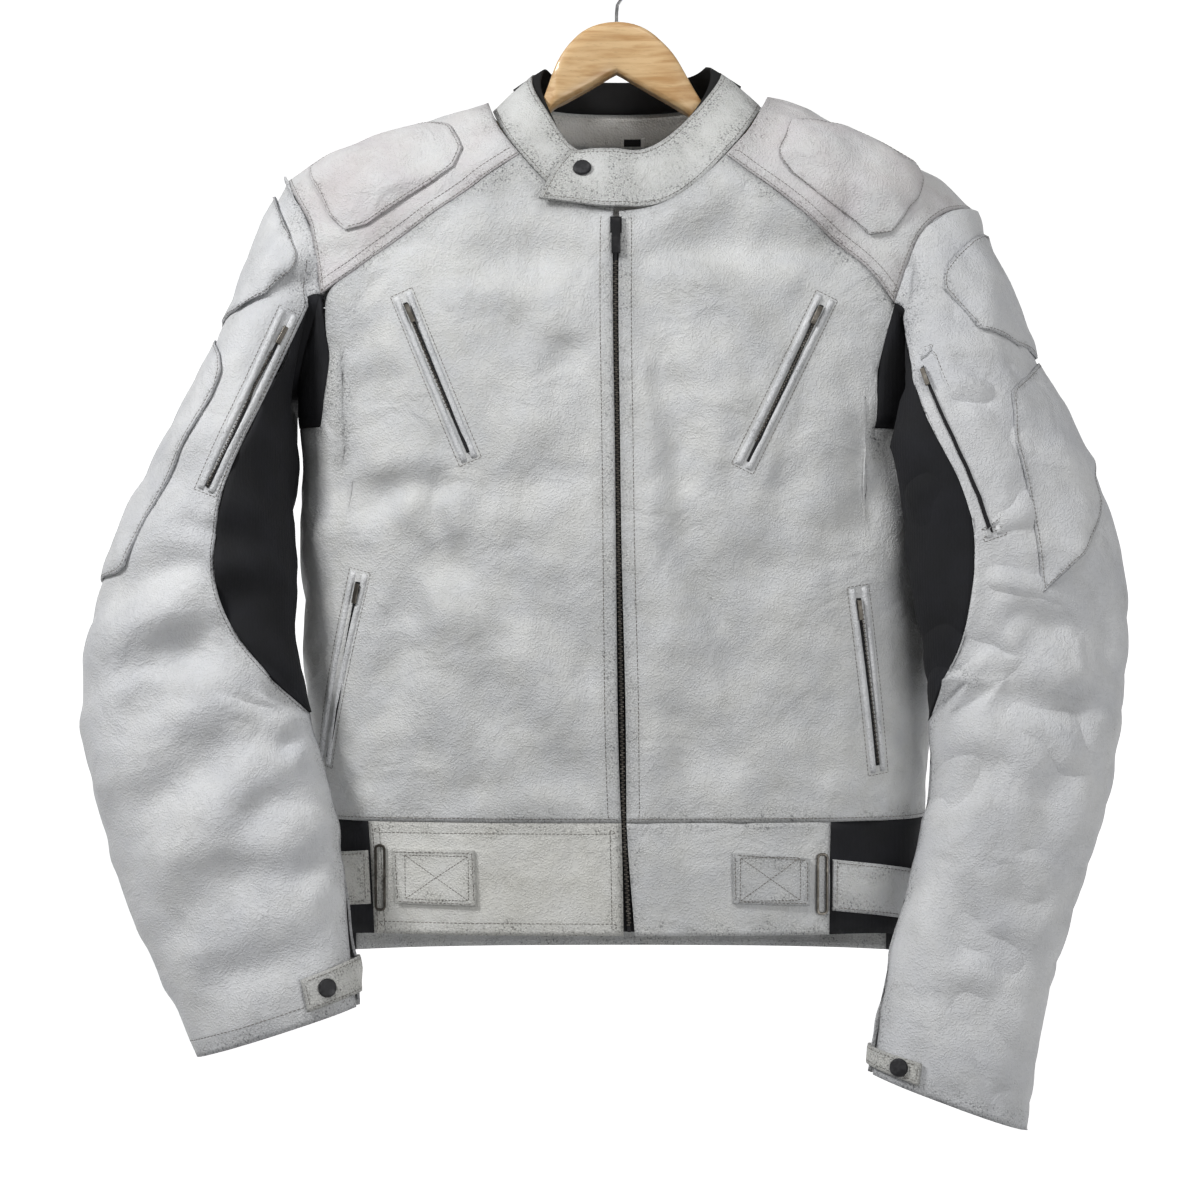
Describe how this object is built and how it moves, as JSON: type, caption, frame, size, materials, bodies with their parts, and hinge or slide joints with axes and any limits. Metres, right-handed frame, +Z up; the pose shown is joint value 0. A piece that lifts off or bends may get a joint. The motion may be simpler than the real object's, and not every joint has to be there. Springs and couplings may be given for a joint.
{
  "type": "leather motorcycle jacket on wooden hanger",
  "caption": "Light leather racing jacket with band collar, padded shoulders and elbows, black stretch panels and zip pockets, hung on a wooden hanger.",
  "frame": {"origin": "top of the inside of the hanger's hook, where it hangs on a rail", "axes": "+Z up, -Y towards the viewer of the jacket's front, +X towards the wearer's left"},
  "size_m": [0.7871, 0.218, 0.8891],
  "materials": {
    "light_leather": "matte pebbled, worn",
    "black_stretch": "matte ribbed knit",
    "black_lining": "matte",
    "zip_tape": "matte tape with dark metal teeth",
    "dark_metal": "black oxide, satin",
    "snap": "matte black",
    "wood": "clear satin lacquer",
    "wire": "polished wire"
  },
  "bodies": {
    "jacket": {"back": "light_leather", "front_r": "light_leather", "front_l": "light_leather", "yoke_r": "light_leather", "yoke_l": "light_leather", "waist_front_r": "light_leather", "waist_front_l": "light_leather", "sleeve_r": "light_leather", "sleeve_l": "light_leather", "arm_pad_r": "light_leather", "arm_pad_l": "light_leather", "elbow_pad_r": "light_leather", "elbow_pad_l": "light_leather", "yoke_pad_r": "light_leather", "yoke_pad_l": "light_leather", "cuff_tab_r": "light_leather", "cuff_tab_l": "light_leather", "strap_r": "light_leather", "strap_l": "light_leather", "strap_tab_r": "light_leather", "strap_tab_l": "light_leather", "waist_back": "light_leather", "collar": "light_leather", "neck_facing": "light_leather", "chest_pocket_r_welt": "light_leather", "chest_pocket_l_welt": "light_leather", "hand_pocket_r_welt": "light_leather", "hand_pocket_l_welt": "light_leather", "arm_pocket_r_welt": "light_leather", "arm_pocket_l_welt": "light_leather", "side_r": "black_stretch", "side_l": "black_stretch", "stretch_r": "black_stretch", "stretch_l": "black_stretch", "waist_side_r": "black_stretch", "waist_side_l": "black_stretch", "collar_lining": "black_lining", "chest_pocket_r_zip": "zip_tape", "chest_pocket_l_zip": "zip_tape", "hand_pocket_r_zip": "zip_tape", "hand_pocket_l_zip": "zip_tape", "arm_pocket_r_zip": "zip_tape", "arm_pocket_l_zip": "zip_tape", "front_zip": "zip_tape", "cuff_zip_r": "zip_tape", "cuff_zip_l": "zip_tape", "ring_r": "dark_metal", "ring_l": "dark_metal", "collar_snap": "snap", "cuff_snap_r": "snap", "cuff_snap_l": "snap", "hanger": "wood", "hanger_hook": "wire"},
    "chest_pocket_r_pull_body": {"chest_pocket_r_pull": "dark_metal"},
    "hand_pocket_r_pull_body": {"hand_pocket_r_pull": "dark_metal"},
    "arm_pocket_r_pull_body": {"arm_pocket_r_pull": "dark_metal"},
    "chest_pocket_l_pull_body": {"chest_pocket_l_pull": "dark_metal"},
    "hand_pocket_l_pull_body": {"hand_pocket_l_pull": "dark_metal"},
    "arm_pocket_l_pull_body": {"arm_pocket_l_pull": "dark_metal"},
    "front_pull_body": {"front_pull": "dark_metal"}
  },
  "joints": [
    {"name": "chest_pocket_r_hinge", "type": "hinge", "parent": "jacket", "child": "chest_pocket_r_pull_body", "pos_m": [-0.15596, -0.0757, -0.27898], "axis": [-0.9072, 0.1131, -0.4051], "range_deg": [0, 150]},
    {"name": "hand_pocket_r_hinge", "type": "hinge", "parent": "jacket", "child": "hand_pocket_r_pull_body", "pos_m": [-0.19281, -0.06913, -0.48589], "axis": [-0.894, 0.3972, 0.2071], "range_deg": [0, 150]},
    {"name": "arm_pocket_r_hinge", "type": "hinge", "parent": "jacket", "child": "arm_pocket_r_pull_body", "pos_m": [-0.2455, -0.06708, -0.29511], "axis": [-0.794, -0.3352, 0.5072], "range_deg": [0, 150]},
    {"name": "chest_pocket_l_hinge", "type": "hinge", "parent": "jacket", "child": "chest_pocket_l_pull_body", "pos_m": [0.15058, -0.07713, -0.28083], "axis": [-0.8957, -0.0847, 0.4366], "range_deg": [0, 150]},
    {"name": "hand_pocket_l_hinge", "type": "hinge", "parent": "jacket", "child": "hand_pocket_l_pull_body", "pos_m": [0.17906, -0.07568, -0.49796], "axis": [-0.9333, -0.3332, -0.1341], "range_deg": [0, 150]},
    {"name": "arm_pocket_l_hinge", "type": "hinge", "parent": "jacket", "child": "arm_pocket_l_pull_body", "pos_m": [0.22366, -0.09599, -0.32789], "axis": [-0.9072, 0.1955, -0.3725], "range_deg": [0, 150]},
    {"name": "front_hinge", "type": "hinge", "parent": "jacket", "child": "front_pull_body", "pos_m": [-0.00076, -0.07473, -0.21536], "axis": [-1, 0, 0], "range_deg": [0, 150]}
  ]
}
